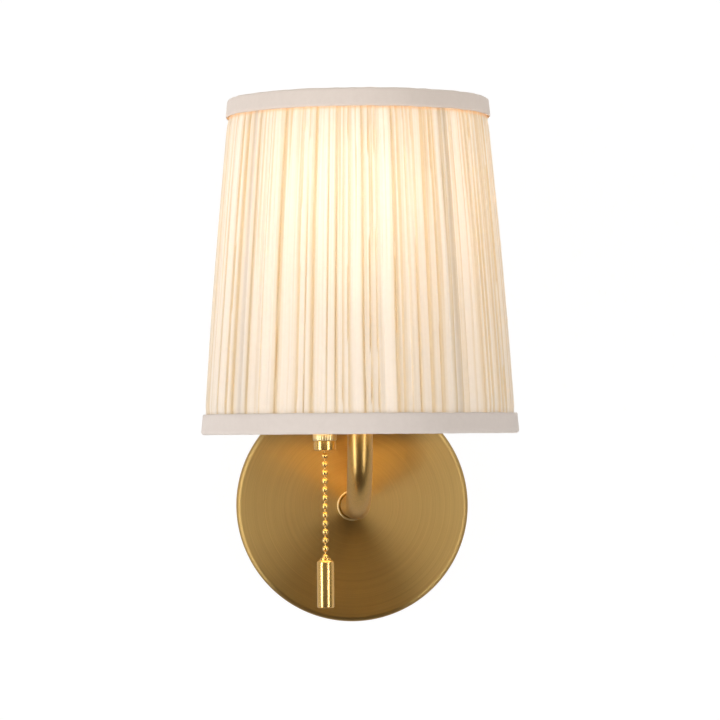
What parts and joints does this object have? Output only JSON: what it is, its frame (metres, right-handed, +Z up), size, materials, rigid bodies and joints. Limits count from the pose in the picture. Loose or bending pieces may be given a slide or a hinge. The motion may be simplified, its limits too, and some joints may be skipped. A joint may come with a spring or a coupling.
{
  "type": "wall light",
  "caption": "Wall light with a pleated fabric shade on a bent brass arm, a round back plate and a bead-chain pull switch beside the arm.",
  "frame": {"origin": "centre of the wall bracket's two slots, on the wall plane", "axes": "+Y into the wall, +Z up, the shade stands out towards -Y"},
  "size_m": [0.1564, 0.1822, 0.262],
  "materials": {
    "satin_brass": "brushed satin brass, clear lacquer",
    "polished_brass": "polished brass",
    "raw_brass": "plain turned brass",
    "zinc_steel": "zinc plated sheet steel",
    "frame_wire": "white coated steel wire",
    "spring_steel": "spring steel",
    "pleated_cloth": "ivory gathered cloth, translucent",
    "trim_cloth": "ivory woven band",
    "lining_sheet": "white translucent sheet",
    "holder_plastic": "white moulded phenolic",
    "ceramic": "unglazed ceramic",
    "block_plastic": "white moulded plastic",
    "lead_brown": "brown lead insulation",
    "lead_blue": "blue lead insulation",
    "lead_green": "green and yellow lead insulation",
    "switch_can": "drawn nickelled can",
    "bulb_opal": "opal glass, lit",
    "bulb_clear": "clear glass",
    "bulb_filament": "phosphor coated rods",
    "bulb_metal": "rolled aluminium"
  },
  "bodies": {
    "root": {"wall_bracket": "zinc_steel", "plate_set_screws": "zinc_steel", "back_plate": "satin_brass", "terminal_block": "block_plastic", "terminal_clamps": "raw_brass", "earth_screw": "raw_brass", "earth_tag": "raw_brass", "earth_lead": "lead_green", "arm_collar": "satin_brass", "arm_tube": "satin_brass", "arm_nipple": "zinc_steel", "arm_lock_washer": "zinc_steel", "arm_lock_nut": "raw_brass", "live_lead": "lead_brown", "neutral_lead": "lead_blue", "switch_lead": "lead_brown", "switch_bracket": "satin_brass", "switch_body": "switch_can", "switch_bushing": "raw_brass", "switch_contacts": "raw_brass", "switch_nut": "polished_brass", "switch_nozzle": "polished_brass", "switch_spring": "spring_steel", "holder_nipple": "zinc_steel", "holder_lock_nut": "raw_brass", "holder_cap": "holder_plastic", "holder_insulator": "ceramic", "holder_terminals": "raw_brass", "holder_screw_shell": "raw_brass", "centre_contact": "raw_brass", "holder_skirt": "holder_plastic", "lower_shade_ring": "holder_plastic", "upper_shade_ring": "holder_plastic", "fitter_ring": "frame_wire", "shade_bottom_ring": "frame_wire", "shade_top_ring": "frame_wire", "shade_lining": "lining_sheet", "shade_pleats": "pleated_cloth", "top_trim": "trim_cloth", "bottom_trim": "trim_cloth", "shade_strut_1": "frame_wire", "fitter_arm_1": "frame_wire", "shade_strut_2": "frame_wire", "fitter_arm_2": "frame_wire", "shade_strut_3": "frame_wire", "fitter_arm_3": "frame_wire", "shade_strut_4": "frame_wire", "fitter_arm_4": "frame_wire"},
    "switch_pull": {"switch_slider": "block_plastic", "chain_top": "polished_brass"},
    "chain_swivel": {"chain_swivel": "polished_brass"},
    "hanging_chain": {"pull_chain": "polished_brass", "pull_weight": "polished_brass"},
    "bulb": {"bulb_cap": "bulb_metal", "bulb_contact": "ceramic", "bulb_envelope": "bulb_opal", "bulb_stem": "bulb_clear", "bulb_filaments": "bulb_filament"}
  },
  "joints": [
    {"name": "chain_pull", "type": "slide", "parent": "root", "child": "switch_pull", "axis": [0, 0, -1], "range_m": [0, 0.005], "stiffness_N_per_m": 1200, "springref_m": -0.004, "deforming": ["switch_spring"]},
    {"name": "chain_swing_side", "type": "hinge", "parent": "switch_pull", "child": "chain_swivel", "pos_m": [-0.0175, -0.104, 0.02848], "axis": [0, 1, 0], "range_deg": [-20, 20]},
    {"name": "chain_swing_front", "type": "hinge", "parent": "chain_swivel", "child": "hanging_chain", "pos_m": [-0.0175, -0.104, 0.02432], "axis": [1, 0, 0], "range_deg": [-25, 25]},
    {"name": "bulb_out", "type": "slide", "parent": "root", "child": "bulb", "axis": [0, 0, 1], "range_m": [0, 0.13]}
  ]
}
